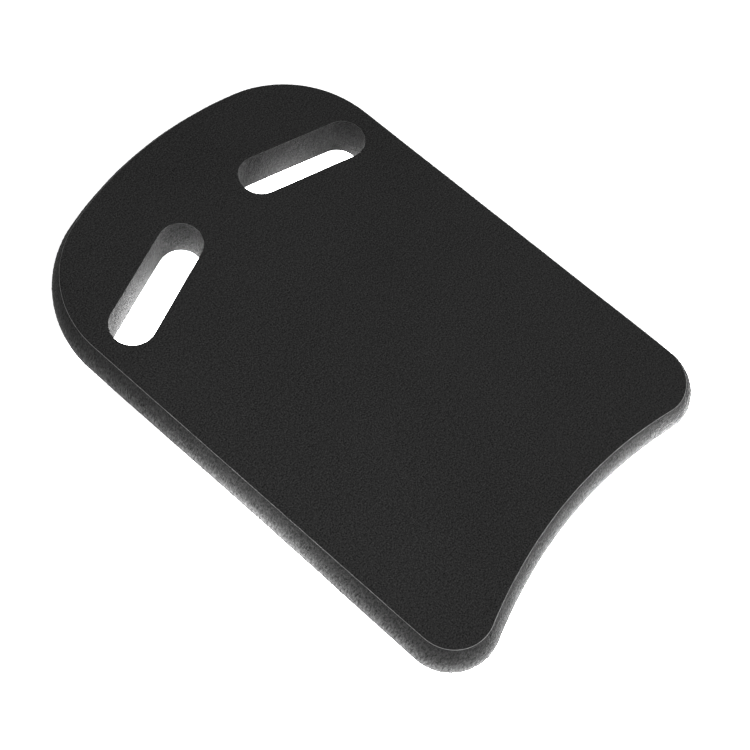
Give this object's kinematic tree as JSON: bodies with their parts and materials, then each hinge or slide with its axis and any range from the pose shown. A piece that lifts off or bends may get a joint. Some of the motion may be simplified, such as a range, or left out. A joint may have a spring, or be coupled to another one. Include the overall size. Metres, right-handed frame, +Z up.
{
  "type": "kickboard",
  "caption": "Flat foam swimming kickboard with a rounded nose, a hollowed tail, a barrel-shaped side wall and slanted hand slots.",
  "frame": {"origin": "centre of the bounding box at the underside, where the board lies on a table", "axes": "+Z up through the thickness, +Y along the length towards the rounded nose, +X across the width"},
  "size_m": [0.28, 0.407, 0.036],
  "materials": {
    "skin_foam": "matte",
    "core_foam": "matte"
  },
  "bodies": {
    "root": {"base_skin": "skin_foam", "lower_core": "core_foam", "upper_core": "core_foam", "deck_skin": "skin_foam"}
  },
  "joints": []
}
